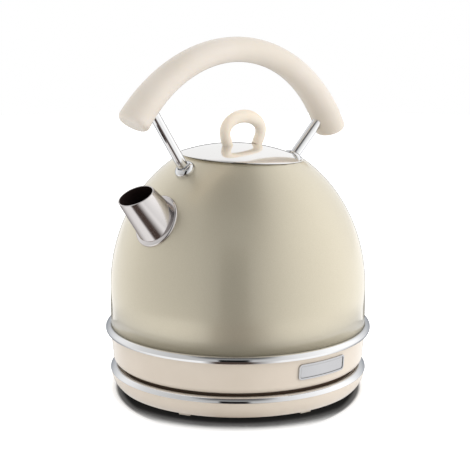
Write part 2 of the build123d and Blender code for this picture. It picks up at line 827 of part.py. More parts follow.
for place, (foot, up) in posts.items():
    post_plane = Plane(origin=foot, x_dir=(0, 1, 0), z_dir=up)
    length = post_length(foot, up)

    # Bright rod, scribed to the dome, with a threaded spigot through the wall.
    with BuildPart() as post:
        with BuildSketch(post_plane.offset(-post_radius)):
            Circle(post_radius)
        extrude(amount=length + post_radius)
        add(dome_block, mode=Mode.SUBTRACT)
        with BuildSketch(post_plane.offset(-spigot_length)):
            Circle(spigot_radius)
        extrude(amount=spigot_length + post_radius)
    save(post, f"{place}_post")

    # Domed collar round the foot of the rod.
    normal = dome_normal_tilt(foot.X, foot.Z)
    collar_plane = Plane(origin=foot, x_dir=(0, 1, 0), z_dir=normal)
    with BuildPart() as collar:
        with BuildSketch(collar_plane.offset(-collar_height / 2)):
            Circle(collar_radius)
        extrude(amount=collar_height * 1.5)
        crown = collar.edges().sort_by(Axis(foot, normal))[-1]
        fillet(crown, radius=collar_round)
        add(dome_block, mode=Mode.SUBTRACT)
        with BuildSketch(post_plane.offset(-collar_height)):
            Circle(post_radius + slip_gap / 2)
        extrude(amount=collar_height * 4, mode=Mode.SUBTRACT)
    save(collar, f"{place}_collar")

    # Nut on the spigot inside the dome.
    with BuildPart() as nut:
        with BuildSketch(post_plane.offset(-nut_back)):
            RegularPolygon(nut_radius, 6)
            Circle(spigot_radius + thread_gap, mode=Mode.SUBTRACT)
        extrude(amount=-nut_height)
    save(nut, f"{place}_nut")

# Grip: a soft arch, thinnest in the middle and swelling towards its blunt ends.
grip_mid_angle = (grip_front_angle + grip_rear_angle) / 2
grip_half_angle = (grip_front_angle - grip_rear_angle) / 2
with BuildPart() as grip:
    for k in range(grip_sections):
        share = 2 * k / (grip_sections - 1) - 1
        angle = grip_mid_angle + share * grip_half_angle
        radial = grip_radial(angle)
        section = Plane(
            origin=grip_centre + radial * grip_arc_radius,
            x_dir=radial,
            z_dir=(-radial.Z, 0, radial.X),
        )
        with BuildSketch(section):
            Ellipse(
                grip_mid_height + (grip_end_height - grip_mid_height) * share**2,
                grip_mid_width + (grip_end_width - grip_mid_width) * share**2,
            )
    loft()
    ends = grip.faces().filter_by(GeomType.PLANE).edges()
    fillet(ends, radius=grip_end_round)
    for foot, up in posts.values():
        with BuildSketch(Plane(origin=foot, x_dir=(0, 1, 0), z_dir=up)):
            Circle(post_radius + slip_gap / 2)
        extrude(amount=post_length(foot, up) + slip_gap, mode=Mode.SUBTRACT)
save(grip, "grip")

# ================= lid =================
crown_drop = lid_crown_radius - sqrt(lid_crown_radius**2 - (lid_radius - lid_edge / 2) ** 2)
crown_foot_z = lid_edge_height
lid_apex = crown_foot_z + crown_drop
inner_crown_radius = lid_crown_radius - lid_wall
inner_edge_radius = lid_radius - lid_edge * 1.5
inner_drop = inner_crown_radius - sqrt(inner_crown_radius**2 - inner_edge_radius**2)
inner_foot_z = lid_apex - lid_wall - inner_drop


def crown_z(radius):
    """Height of the lid's top above the mouth's seat at a distance from its axis."""
    return lid_apex - lid_crown_radius + sqrt(lid_crown_radius**2 - radius**2)


# Pressed lid dome: a shallow crown with a thin turned edge.
with BuildPart() as lid_dome:
    with BuildSketch(mouth_cross_section):
        with BuildLine():
            RadiusArc((lid_radius - lid_edge / 2, crown_foot_z), (0, lid_apex), -lid_crown_radius)
            Line((0, lid_apex), (0, lid_apex - lid_wall))
            RadiusArc((0, lid_apex - lid_wall), (inner_edge_radius, inner_foot_z), inner_crown_radius)
            Polyline(
                (inner_edge_radius, inner_foot_z),
                (inner_edge_radius, seat_gap),
                (lid_radius, seat_gap),
                (lid_radius, crown_foot_z - lid_edge / 4),
                (lid_radius - lid_edge / 2, crown_foot_z),
            )
        make_face()
    revolve(axis=mouth_axis)
    for side in (-1, 1):
        with BuildSketch(mouth_plane):
            with Locations((side * knob_foot_half_width, 0)):
                Circle(screw_radius + slip_gap)
        extrude(amount=lid_apex, mode=Mode.SUBTRACT)
save(lid_dome, "lid_dome")

# Plug under the lid that drops into the neck.
plug_top_z = crown_z(plug_radius) - lid_wall - slip_gap
with BuildPart() as lid_plug:
    with BuildSketch(mouth_plane.offset(-plug_depth)):
        Circle(plug_radius)
    extrude(amount=plug_depth + plug_top_z)
    with BuildSketch(mouth_plane.offset(-plug_depth + plug_wall)):
        Circle(plug_radius - plug_wall)
    extrude(amount=plug_depth + plug_top_z, mode=Mode.SUBTRACT)
save(lid_plug, "lid_plug")

# Silicone ring round the plug.
with BuildPart() as lid_seal:
    with BuildSketch(mouth_plane.offset(lid_seal_z)):
        Circle(mouth_bore_radius - seat_gap)
        Circle(plug_radius + slip_gap / 2, mode=Mode.SUBTRACT)
    extrude(amount=lid_seal_height)
save(lid_seal, "lid_seal")

# Knob: a horseshoe loop standing on the lid, thickest at the top of the bow.
# Above its waist the bow is half an ellipse, and below it a taller one that draws
# the legs together to their feet.
knob_foot_z = crown_z(knob_foot_half_width)
knob_leg_drop = knob_waist_z - knob_foot_z + lid_wall
knob_leg_rise = knob_leg_drop / sqrt(1 - (knob_foot_half_width / knob_half_width) ** 2)
knob_leg_turn = degrees(asin(knob_leg_drop / knob_leg_rise))


def bow_plane(turn):
    """Plane square to the knob's bow at a turn about its waist."""
    rise = knob_top_z - knob_waist_z if 0 <= turn <= 180 else knob_leg_rise
    across = knob_half_width * cos(radians(turn))
    up = knob_waist_z + rise * sin(radians(turn))
    run_across = -knob_half_width * sin(radians(turn))
    run_up = rise * cos(radians(turn))
    return Plane(
        origin=mouth_plane.origin + mouth_plane.x_dir * across + mouth_plane.z_dir * up,
        x_dir=(0, 1, 0),
        z_dir=mouth_plane.x_dir * run_across + mouth_plane.z_dir * run_up,
    )


with BuildPart() as knob:
    for k in range(knob_sections):
        share = k / (knob_sections - 1)
        turn = -knob_leg_turn + share * (180 + 2 * knob_leg_turn)
        swell = (knob_top_thickness - knob_leg_thickness) * sin(radians(180 * share))
        with BuildSketch(bow_plane(turn)):
            Ellipse(knob_depth, knob_leg_thickness + swell)
    loft()
    add(
        Solid.make_sphere(lid_crown_radius, plane=mouth_plane.offset(lid_apex - lid_crown_radius)),
        mode=Mode.SUBTRACT,
    )
    for side in (-1, 1):
        with BuildSketch(mouth_plane):
            with Locations((side * knob_foot_half_width, 0)):
                Circle(screw_radius + thread_gap)
        extrude(amount=knob_foot_z + screw_length / 2 + slip_gap, mode=Mode.SUBTRACT)
save(knob, "knob")

# Screws from under the lid into the knob's feet.
knob_screw_z = crown_z(knob_foot_half_width + screw_head_radius) - lid_wall - slip_gap
with BuildPart() as knob_screws:
    for side in (-1, 1):
        with BuildSketch(mouth_plane.offset(knob_screw_z - screw_head_height)):
            with Locations((side * knob_foot_half_width, 0)):
                Circle(screw_head_radius)
        extrude(amount=screw_head_height)
        with BuildSketch(mouth_plane.offset(knob_screw_z)):
            with Locations((side * knob_foot_half_width, 0)):
                Circle(screw_radius)
        extrude(amount=knob_foot_z + screw_length / 2 - knob_screw_z)
save(knob_screws, "knob_screws")

# ================= switch =================
bracket_floor_z = skirt_flange_z + skirt_wall
bracket_inside = switch_width + 2 * seat_gap
bracket_top_z = switch_z + switch_pin_radius + bracket_wall

# Bracket on the skirt's flange, with two cheeks that carry the pin.
with BuildPart() as switch_bracket:
    with BuildSketch(Plane.XZ.offset(-bracket_inside / 2 - bracket_wall)):
        with Locations((switch_pivot_x, bracket_floor_z)):
            Rectangle(
                4 * switch_pin_radius + bracket_wall,
                bracket_top_z - bracket_floor_z,
                align=(Align.CENTER, Align.MIN),
            )
    extrude(amount=bracket_inside + 2 * bracket_wall)
    with BuildSketch(Plane.XZ.offset(-bracket_inside / 2)):
        with Locations((switch_pivot_x, bracket_floor_z + bracket_wall)):
            Rectangle(
                4 * switch_barrel_radius,
                bracket_top_z - bracket_floor_z,
                align=(Align.CENTER, Align.MIN),
            )
    extrude(amount=bracket_inside, mode=Mode.SUBTRACT)
    with BuildSketch(Plane.XZ.offset(-bracket_inside / 2 - bracket_wall)):
        with Locations((switch_pivot_x, switch_z)):
            Circle(switch_pin_radius + thread_gap)
    extrude(amount=bracket_inside + 2 * bracket_wall, mode=Mode.SUBTRACT)
save(switch_bracket, "switch_bracket")

# Steel pin through both cheeks.
with BuildPart() as switch_pin:
    with BuildSketch(Plane.XZ.offset(-bracket_inside / 2 - bracket_wall)):
        with Locations((switch_pivot_x, switch_z)):
            Circle(switch_pin_radius)
    extrude(amount=bracket_inside + 2 * bracket_wall)
save(switch_pin, "switch_pin")

# Lever: a barrel on the pin and a flat paddle out through the skirt's slot.
with BuildPart() as switch_lever:
    with BuildSketch(Plane.XZ.offset(-switch_width / 2)):
        with Locations((switch_pivot_x, switch_z)):
            Circle(switch_barrel_radius)
        with BuildLine():
            FilletPolyline(
                (switch_pivot_x, switch_z - switch_thickness / 2),
                (switch_reach, switch_z - switch_thickness / 2),
                (switch_reach, switch_z + switch_thickness / 2),
                (switch_pivot_x, switch_z + switch_thickness / 2),
                radius=switch_tip_round,
            )
            Line(
                (switch_pivot_x, switch_z + switch_thickness / 2),
                (switch_pivot_x, switch_z - switch_thickness / 2),
            )
        make_face()
        with Locations((switch_pivot_x, switch_z)):
            Circle(switch_pin_radius + thread_gap, mode=Mode.SUBTRACT)
    extrude(amount=switch_width)
    lens_x = (skirt_top_radius + switch_reach) / 2
    with BuildSketch(Plane.XY.offset(switch_z + switch_thickness / 2)):
        with Locations((lens_x, 0)):
            Circle(lens_radius + slip_gap / 2)
    extrude(amount=-lens_height, mode=Mode.SUBTRACT)
save(switch_lever, "switch_lever")

# Pilot lens let into the top of the paddle.
with BuildPart() as switch_lens:
    with BuildSketch(Plane.XY.offset(switch_z + switch_thickness / 2)):
        with Locations((lens_x, 0)):
            Circle(lens_radius)
    extrude(amount=-lens_height)
save(switch_lens, "switch_lens")
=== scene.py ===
import bmesh
import bpy
from math import acos, asin, cos, exp, pi, radians, sin, sqrt
from mathutils import Matrix, Vector


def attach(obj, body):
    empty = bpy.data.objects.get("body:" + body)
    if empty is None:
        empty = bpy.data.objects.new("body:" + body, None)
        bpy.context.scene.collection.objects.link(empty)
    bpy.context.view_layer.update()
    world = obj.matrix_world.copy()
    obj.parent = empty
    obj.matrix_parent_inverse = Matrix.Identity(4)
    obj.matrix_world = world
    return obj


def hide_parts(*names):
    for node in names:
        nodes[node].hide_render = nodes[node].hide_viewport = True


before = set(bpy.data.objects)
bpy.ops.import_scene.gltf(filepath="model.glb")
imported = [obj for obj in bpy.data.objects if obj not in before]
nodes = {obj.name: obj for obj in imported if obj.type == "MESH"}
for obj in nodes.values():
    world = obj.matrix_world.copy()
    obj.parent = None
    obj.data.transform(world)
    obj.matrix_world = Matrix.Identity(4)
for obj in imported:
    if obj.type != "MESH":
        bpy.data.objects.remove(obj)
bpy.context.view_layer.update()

# ---- Camera ----
# A long lens on a tripod, a little above the kettle and on the spout's side of it, tilted
# down at the dome. It is swung a hair aside, so that the axis stands right of the middle.
camera_turn = 42.5
camera_tilt = 12.56
camera_swing = 0.105
camera_reach = 1.242
camera_height = 0.3966
lens_length = 124.55
film_width = 36
towards_camera = Vector((-sin(radians(camera_turn)), -cos(radians(camera_turn)), 0))
beside_camera = Vector((cos(radians(camera_turn)), -sin(radians(camera_turn)), 0))
camera_data = bpy.data.cameras.new("camera")
camera_data.sensor_width = film_width
camera_data.lens = lens_length
camera = bpy.data.objects.new("camera", camera_data)
bpy.context.scene.collection.objects.link(camera)
camera.location = towards_camera * camera_reach + Vector((0, 0, camera_height))
camera.rotation_euler = (radians(90 - camera_tilt), 0, radians(-camera_turn + camera_swing))
bpy.context.scene.camera = camera

# ---- Studio ----
# A plain white room with one soft lamp high on the right, and a cloth tent that only bright
# parts mirror: darkest where the camera looks in. The white table carries a painted shadow
# round the base, on top of its real shadow.
bpy.context.scene.view_settings.view_transform = "Standard"


def combined(tree, operation, *values):
    """Joins sockets or numbers with one sum and gives its result."""
    sum_node = tree.nodes.new("ShaderNodeMath")
    sum_node.operation = operation
    for place, value in enumerate(values):
        if isinstance(value, (int, float)):
            sum_node.inputs[place].default_value = value
        else:
            tree.links.new(value, sum_node.inputs[place])
    return sum_node.outputs[0]


def reach_along(tree, vector_socket, axis):
    """How far a vector reaches along one fixed direction."""
    dot = tree.nodes.new("ShaderNodeVectorMath")
    dot.operation = "DOT_PRODUCT"
    tree.links.new(vector_socket, dot.inputs[0])
    dot.inputs[1].default_value = axis
    return dot.outputs["Value"]


def colour_steps(tree, factor, steps, interpolation="EASE"):
    """A colour ramp with a colour at each of a few places."""
    ramp = tree.nodes.new("ShaderNodeValToRGB")
    ramp.color_ramp.interpolation = interpolation
    ramp.color_ramp.elements[0].position = steps[0][0]
    ramp.color_ramp.elements[0].color = steps[0][1]
    ramp.color_ramp.elements[1].position = steps[-1][0]
    ramp.color_ramp.elements[1].color = steps[-1][1]
    for place, colour in steps[1:-1]:
        ramp.color_ramp.elements.new(place).color = colour
    tree.links.new(factor, ramp.inputs["Fac"])
    return ramp.outputs["Color"]


def grey(level):
    return (level, level, level, 1)


def greys(*steps):
    """Turns pairs of a place and a level into steps of grey."""
    return [(place, grey(level)) for place, level in steps]


def seen_directly(tree):
    """One for rays from the camera and for those that metal or glass sends on."""
    ray = tree.nodes.new("ShaderNodeLightPath").outputs
    mirrored = combined(tree, "ADD", ray["Is Glossy Ray"], ray["Is Transmission Ray"])
    return combined(tree, "MINIMUM", combined(tree, "ADD", ray["Is Camera Ray"], mirrored), 1)


def eased(tree, value, low, high):
    """Rises smoothly from nought to one between two values."""
    ease = tree.nodes.new("ShaderNodeMapRange")
    ease.interpolation_type = "SMOOTHSTEP"
    ease.inputs["From Min"].default_value = low
    ease.inputs["From Max"].default_value = high
    tree.links.new(value, ease.inputs["Value"])
    return ease.outputs["Result"]


def blended(tree, factor, first, second):
    """Goes from one colour to another, each a socket or a fixed colour."""
    blend = tree.nodes.new("ShaderNodeMix")
    blend.data_type = "RGBA"
    tree.links.new(factor, blend.inputs["Factor"])
    for place, value in (("A", first), ("B", second)):
        if isinstance(value, tuple):
            blend.inputs[place].default_value = value
        else:
            tree.links.new(value, blend.inputs[place])
    return blend.outputs["Result"]


room = bpy.data.worlds.new("room")
bpy.context.scene.world = room
room.use_nodes = True
tree = room.node_tree
tree.nodes.clear()
room_light = tree.nodes.new("ShaderNodeBackground")
outwards = tree.nodes.new("ShaderNodeTexCoord").outputs["Generated"]
room_walls = colour_steps(
    tree,
    combined(tree, "MULTIPLY_ADD", reach_along(tree, outwards, towards_camera), 0.5, 0.5),
    greys((0.0, 1.05), (0.35, 1.45), (0.5, 1.4), (0.75, 0.95), (1.0, 0.62)),
)
tree.links.new(room_walls, room_light.inputs["Color"])
ceiling_dimmed = 0.35
ceiling = eased(tree, reach_along(tree, outwards, (0, 0, 1)), 0.1, 0.9)
room_strength = combined(tree, "MULTIPLY_ADD", ceiling, -ceiling_dimmed, 1)
tree.links.new(room_strength, room_light.inputs["Strength"])
white_backing = tree.nodes.new("ShaderNodeBackground")
white_backing.inputs["Color"].default_value = grey(1)
backing_mix = tree.nodes.new("ShaderNodeMixShader")
tree.links.new(seen_directly(tree), backing_mix.inputs[0])
tree.links.new(room_light.outputs[0], backing_mix.inputs[1])
tree.links.new(white_backing.outputs[0], backing_mix.inputs[2])
world_out = tree.nodes.new("ShaderNodeOutputWorld")
tree.links.new(backing_mix.outputs[0], world_out.inputs["Surface"])

# the tent is a wide ball of cloth round the table, graded by panels
tent_radius = 3
bm = bmesh.new()
bmesh.ops.create_uvsphere(bm, u_segments=48, v_segments=24, radius=tent_radius)
tent_data = bpy.data.meshes.new("tent")
bm.to_mesh(tent_data)
bm.free()
tent = bpy.data.objects.new("tent", tent_data)
bpy.context.scene.collection.objects.link(tent)
tent.visible_camera = False
tent.visible_diffuse = False
tent.visible_transmission = False
tent.visible_shadow = False
tent_cloth = bpy.data.materials.new("tent_cloth")
tent_cloth.use_nodes = True
tent_cloth.cycles.emission_sampling = "NONE"
tree = tent_cloth.node_tree
tree.nodes.clear()
unit = tree.nodes.new("ShaderNodeVectorMath")
unit.operation = "NORMALIZE"
tree.links.new(tree.nodes.new("ShaderNodeTexCoord").outputs["Object"], unit.inputs[0])
place = unit.outputs["Vector"]
forward = reach_along(tree, place, towards_camera)
upward = reach_along(tree, place, (0, 0, 1))
turn = combined(
    tree, "ARCTAN2", reach_along(tree, place, beside_camera), combined(tree, "ADD", forward, 1)
)
turn = combined(tree, "MULTIPLY_ADD", turn, 1 / pi, 0.5)
downward = combined(tree, "MULTIPLY", upward, -1)
backward = combined(tree, "MULTIPLY", forward, -1)

# cloth panels from the left round the front to the right
left_panels = greys((0.0, 1.1), (0.083, 1.16), (0.155, 0.99), (0.26, 0.66), (0.355, 0.53))
front_panels = greys((0.42, 0.50), (0.446, 0.46), (0.546, 0.50), (0.58, 0.60), (0.64, 0.80))
right_panels = greys((0.69, 0.91), (0.73, 1.01), (0.785, 1.12), (0.87, 1.2), (1.0, 1.2))
panels = colour_steps(tree, turn, left_panels + front_panels + right_panels, "LINEAR")

# darker overhead in the middle, and a black gap that the camera looks through
overhead = combined(tree, "SUBTRACT", eased(tree, turn, 0.37, 0.44), eased(tree, turn, 0.54, 0.61))
overhead = combined(tree, "MULTIPLY", overhead, eased(tree, upward, 0.35, 0.75))
panels = blended(tree, overhead, panels, grey(0.26))
crest = combined(tree, "MULTIPLY", overhead, eased(tree, upward, 0.78, 0.86))
panels = blended(tree, crest, panels, grey(0.12))
gap = combined(tree, "SUBTRACT", eased(tree, turn, 0.451, 0.462), eased(tree, turn, 0.519, 0.537))
gap = combined(tree, "MULTIPLY", gap, eased(tree, downward, -0.60, -0.50))
panels = blended(tree, gap, panels, grey(0.010))

# paler cloth low down, with a brown seam in it
brown = (0.07, 0.05, 0.043, 1)
low_left = greys((0.0, 0.55), (0.16, 0.72), (0.30, 0.92), (0.415, 0.92))
low_right = greys((0.60, 0.9), (0.72, 1.05), (0.86, 0.8), (1.0, 0.6))
low_cloth = colour_steps(
    tree, turn, low_left + [(0.448, brown), (0.53, brown)] + low_right, "LINEAR"
)
panels = blended(tree, eased(tree, downward, 0.28, 0.42), panels, low_cloth)

# bright behind the kettle, but for a dark seam straight across from the camera
behind = combined(
    tree, "MULTIPLY", eased(tree, backward, 0.35, 0.75), eased(tree, upward, -0.06, 0.04)
)
rightward = eased(tree, reach_along(tree, place, beside_camera), -0.2, 0.2)
opened = blended(tree, behind, panels, blended(tree, rightward, grey(0.92), grey(0.97)))
facing_away = -(
    towards_camera * cos(radians(camera_tilt)) + Vector((0, 0, sin(radians(camera_tilt))))
)
far_seam = eased(tree, reach_along(tree, place, facing_away), 0.948, 0.968)
seamed = blended(tree, far_seam, opened, grey(0.07))
cloth_glow = tree.nodes.new("ShaderNodeEmission")
tree.links.new(seamed, cloth_glow.inputs["Color"])
cloth_out = tree.nodes.new("ShaderNodeOutputMaterial")
tree.links.new(cloth_glow.outputs[0], cloth_out.inputs["Surface"])
tent_data.materials.append(tent_cloth)

# the soft lamp lights the lacquer and the plastic, and no bright part mirrors it
lamp_width = 1.0
lamp_power = 5
lamp_place = beside_camera * 1.3 + towards_camera * 0.5 + Vector((0, 0, 0.8))
dome_middle = Vector((0, 0, 0.12))
lamp_data = bpy.data.lights.new("side_lamp", "AREA")
lamp_data.shape = "RECTANGLE"
lamp_data.size = lamp_width
lamp_data.size_y = lamp_width
lamp_data.energy = lamp_power
lamp = bpy.data.objects.new("side_lamp", lamp_data)
bpy.context.scene.collection.objects.link(lamp)
lamp.location = lamp_place
lamp.rotation_euler = (dome_middle - lamp_place).to_track_quat("-Z", "Y").to_euler()
lamp.visible_glossy = False


def new_finish(name, colour, metallic=0.0, roughness=0.4):
    """A material with one principled shader, its fixed values set on the shader."""
    finish = bpy.data.materials.new(name)
    finish.use_nodes = True
    shader = finish.node_tree.nodes["Principled BSDF"]
    shader.inputs["Base Color"].default_value = (*colour, 1)
    shader.inputs["Metallic"].default_value = metallic
    shader.inputs["Roughness"].default_value = roughness
    return finish, finish.node_tree, shader


table_radius = 1.5
bm = bmesh.new()
bmesh.ops.create_circle(bm, cap_ends=True, segments=128, radius=table_radius)
floor_data = bpy.data.meshes.new("table_top")
bm.to_mesh(floor_data)
bm.free()
floor = bpy.data.objects.new("table_top", floor_data)
bpy.context.scene.collection.objects.link(floor)
floor.visible_glossy = False
white_table, tree, shader = new_finish("white_table", (0.8, 0.8, 0.8), 0, 0.7)
shader.inputs["Specular IOR Level"].default_value = 0.0

# painted shadow: where an occlusion test finds the base near, the table's colour and glow are
# darkened, fading out with distance, and sooner at its sides through a fixed ellipse round the
# base
painted_shadow_reach = 0.038
painted_shadow_half_wide = 0.103
painted_shadow_half_long = 0.134
nearness = tree.nodes.new("ShaderNodeAmbientOcclusion")
nearness.samples = 16
nearness.inputs["Distance"].default_value = painted_shadow_reach
on_table = tree.nodes.new("ShaderNodeTexCoord").outputs["Object"]
across = reach_along(tree, on_table, beside_camera / painted_shadow_half_wide)
along = reach_along(tree, on_table, towards_camera / painted_shadow_half_long)
along = combined(tree, "MULTIPLY", along, along)
spread = combined(tree, "SQRT", combined(tree, "MULTIPLY_ADD", across, across, along))
fade_start, fade_end = 0.737, 1.035
painted_shadow_fade = eased(tree, spread, fade_start, fade_end)
openness = combined(tree, "MAXIMUM", nearness.outputs["AO"], painted_shadow_fade)
shade = colour_steps(tree, openness, greys((0.45, 0.013), (0.68, 0.10), (0.82, 0.75), (0.97, 1)))
# camera and mirror rays see the table's colour and glow with the painted shadow in it; other rays
# see a plain pale grey
table_with_painted_shadow = blended(tree, seen_directly(tree), grey(0.85), shade)
table_glow = combined(tree, "MULTIPLY_ADD", seen_directly(tree), 0.35, 0.15)
tree.links.new(table_with_painted_shadow, shader.inputs["Base Color"])
tree.links.new(shade, shader.inputs["Emission Color"])
tree.links.new(table_glow, shader.inputs["Emission Strength"])
floor_data.materials.append(white_table)


# ---- Base cover ----
# Cover of the power base, moulded in one piece in ivory gloss plastic: a flat deck, a
# ledge for the bright ring and a side wall that curves in to the foot.


def speckle(tree, scale, detail=2.0, stretch=(1, 1, 1), turned=(0, 0, 0)):
    """Fine noise fixed to the piece, drawn out along one direction if asked."""
    place = tree.nodes.new("ShaderNodeTexCoord")
    mapping = tree.nodes.new("ShaderNodeMapping")
    mapping.inputs["Scale"].default_value = stretch
    mapping.inputs["Rotation"].default_value = turned
    noise = tree.nodes.new("ShaderNodeTexNoise")
    noise.inputs["Scale"].default_value = scale
    noise.inputs["Detail"].default_value = detail
    tree.links.new(place.outputs["Object"], mapping.inputs["Vector"])
    tree.links.new(mapping.outputs["Vector"], noise.inputs["Vector"])
    return noise.outputs["Fac"]


def drawn_between(tree, factor, low, high):
    """Maps a 0 to 1 pattern to a narrow band of values."""
    band = tree.nodes.new("ShaderNodeMapRange")
    band.inputs["To Min"].default_value = low
    band.inputs["To Max"].default_value = high
    tree.links.new(factor, band.inputs["Value"])
    return band.outputs["Result"]


def grain(tree, shader, height_socket, depth, strength=1.0, socket="Normal"):
    """Raises a pattern off the surface by a real depth in metres."""
    bump = tree.nodes.new("ShaderNodeBump")
    bump.inputs["Distance"].default_value = depth
    bump.inputs["Strength"].default_value = strength
    tree.links.new(height_socket, bump.inputs["Height"])
    tree.links.new(bump.outputs["Normal"], shader.inputs[socket])


ivory_moulding, tree, shader = new_finish("ivory_moulding", (0.81, 0.71, 0.60), 0, 0.28)
tint = speckle(tree, 35, 3)
shade = colour_steps(
    tree, tint, [(0.35, (0.80, 0.70, 0.585, 1)), (0.65, (0.825, 0.725, 0.61, 1))]
)
tree.links.new(shade, shader.inputs["Base Color"])
tree.links.new(drawn_between(tree, speckle(tree, 160, 4), 0.29, 0.37), shader.inputs["Roughness"])
grain(tree, shader, speckle(tree, 1400, 3), 0.00002, 0.35)
shader.inputs["Coat Weight"].default_value = 0.6
shader.inputs["Coat Roughness"].default_value = 0.12


def bent_run(bm, middle, size, start, end, steps=12):
    """Adds a run of the outline that bends round its middle, from one angle to another."""
    begun = len(bm.verts)
    first = bm.verts.new((middle[0] + cos(start), 0, middle[1] + sin(start)))
    bmesh.ops.spin(
        bm,
        geom=[first],
        cent=(middle[0], 0, middle[1]),
        axis=(0, -1, 0),
        angle=end - start,
        steps=steps,
    )
    bm.verts.ensure_lookup_table()
    run = list(bm.verts)[begun:]
    away = Matrix.Translation((-middle[0], 0, -middle[1]))
    bmesh.ops.scale(bm, vec=(size[0], 1, size[1]), space=away, verts=run)
    return run


def corner(bm, radius, level):
    """Adds one corner of the outline."""
    return [bm.verts.new((radius, 0, level))]


def turn_outline(bm, runs, steps=192, closed=True):
    """Joins the runs of an outline in order and turns it once round the upright axis."""
    outline = [vert for run in runs for vert in run]
    following = outline[1:] + outline[:1] if closed else outline[1:]
    for vert, after in zip(outline, following):
        if bm.edges.get((vert, after)) is None:
            bm.edges.new((vert, after))
    bmesh.ops.spin(
        bm,
        geom=list(bm.verts) + list(bm.edges),
        cent=(0, 0, 0),
        axis=(0, 0, 1),
        angle=2 * pi,
        steps=steps,
        use_merge=True,
    )
    bmesh.ops.remove_doubles(bm, verts=bm.verts, dist=0.000002)
    bmesh.ops.delete(bm, geom=[e for e in bm.edges if not e.link_faces], context="EDGES")
    bmesh.ops.recalc_face_normals(bm, faces=bm.faces)


def made_piece(bm, name, finish, crease=35):
    """Turns a finished bmesh into a smooth-shaded object with one material."""
    data = bpy.data.meshes.new(name)
    bm.to_mesh(data)
    bm.free()
    data.polygons.foreach_set("use_smooth", [True] * len(data.polygons))
    data.set_sharp_from_angle(angle=radians(crease))
    data.materials.append(finish)
    piece = bpy.data.objects.new(name, data)
    bpy.context.scene.collection.objects.link(piece)
    return piece


def softened(piece, width, segments=2, limit=30):
    """Rounds a piece's hard edges a little, as a mould or a press leaves them."""
    bevel = piece.modifiers.new("soft_edges", "BEVEL")
    bevel.width = width
    bevel.segments = segments
    bevel.limit_method = "ANGLE"
    bevel.angle_limit = radians(limit)
    bevel.harden_normals = True


deck_hole = 0.0175
deck_z = 0.017
deck_under = 0.0148
ring_seat = 0.0959
shoulder = 0.1002
ledge_z = 0.0149
wall_foot_z = 0.002
wall_bend = 0.01705
wall_turn = asin((ledge_z - wall_foot_z) / wall_bend)
wall_inside = [(0.0923, wall_foot_z), (0.0962, 0.0110), (0.0937, deck_under)]
bm = bmesh.new()
turn_outline(
    bm,
    [
        corner(bm, deck_hole, deck_z),
        corner(bm, ring_seat, deck_z),
        corner(bm, ring_seat, ledge_z),
        bent_run(bm, (shoulder - wall_bend, ledge_z), (wall_bend, wall_bend), 0, -wall_turn, 14),
        *[corner(bm, radius, level) for radius, level in wall_inside],
        corner(bm, deck_hole, deck_under),
    ],
    256,
)
base_wall = made_piece(bm, "base_wall", ivory_moulding, 25)
softened(base_wall, 0.0004)
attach(base_wall, "base")
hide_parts("base_cover")

# ---- Bright ring on the base ----
# Chrome-plated ring, a quarter of an ellipse in section, that frames the deck of the base.
# It is pressed on the cover's ledge.
bright_plate, tree, shader = new_finish("bright_plate", (0.95, 0.95, 0.955), 1.0, 0.06)
tree.links.new(drawn_between(tree, speckle(tree, 60, 5), 0.04, 0.10), shader.inputs["Roughness"])
grain(tree, shader, speckle(tree, 250, 2), 0.00001, 0.12)
shader.inputs["Specular Tint"].default_value = (0.30, 0.32, 0.35, 1)

base_ring_width = 0.0049
base_ring_height = 0.0042
bm = bmesh.new()
turn_outline(
    bm,
    [
        bent_run(bm, (ring_seat, ledge_z), (base_ring_width, base_ring_height), 0, pi / 2, 16),
        corner(bm, ring_seat, ledge_z),
    ],
    256,
)
base_ring = made_piece(bm, "base_ring", bright_plate, 40)
softened(base_ring, 0.00025)
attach(base_ring, "base")
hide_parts("base_trim_ring")

# ---- Feet, bottom plate and base screws ----
# Flat tabs of soft rubber, glued in pockets of the ivory bottom plate. Three steel screws
# hold the plate up in the cover.
foot_rubber, tree, shader = new_finish("foot_rubber", (0.86, 0.79, 0.69), 0, 0.7)
grain(tree, shader, speckle(tree, 900, 3), 0.00004, 0.5)
tree.links.new(drawn_between(tree, speckle(tree, 200, 3), 0.6, 0.8), shader.inputs["Roughness"])


def dress(names, finish):
    """Gives solids whose shape is right their real finish."""
    for name in names:
        for slot in nodes[name].material_slots:
            slot.material = finish


dress(["base_feet"], foot_rubber)
dress(["base_plate"], ivory_moulding)
plain_steel, tree, shader = new_finish("plain_steel", (0.62, 0.61, 0.59), 1.0, 0.32)
tree.links.new(drawn_between(tree, speckle(tree, 300, 4), 0.29, 0.42), shader.inputs["Roughness"])
grain(tree, shader, speckle(tree, 700, 2), 0.00001, 0.3)
dress(["base_screws"], plain_steel)

# ---- Plug-in connector ----
# Black moulded turret in the middle of the deck, its brass contacts, the loose ring that
# the kettle turns on, and the socket, pin and blade under the kettle.
black_moulding, tree, shader = new_finish("black_moulding", (0.028, 0.027, 0.026), 0, 0.42)
tree.links.new(drawn_between(tree, speckle(tree, 220, 4), 0.34, 0.5), shader.inputs["Roughness"])
grain(tree, shader, speckle(tree, 1100, 3), 0.00002, 0.4)
contact_brass, tree, shader = new_finish("contact_brass", (0.78, 0.58, 0.27), 1.0, 0.25)
tree.links.new(drawn_between(tree, speckle(tree, 400, 4), 0.29, 0.42), shader.inputs["Roughness"])
dress(["base_connector", "turn_ring", "kettle_connector"], black_moulding)
dress(["base_contacts", "kettle_contacts"], contact_brass)

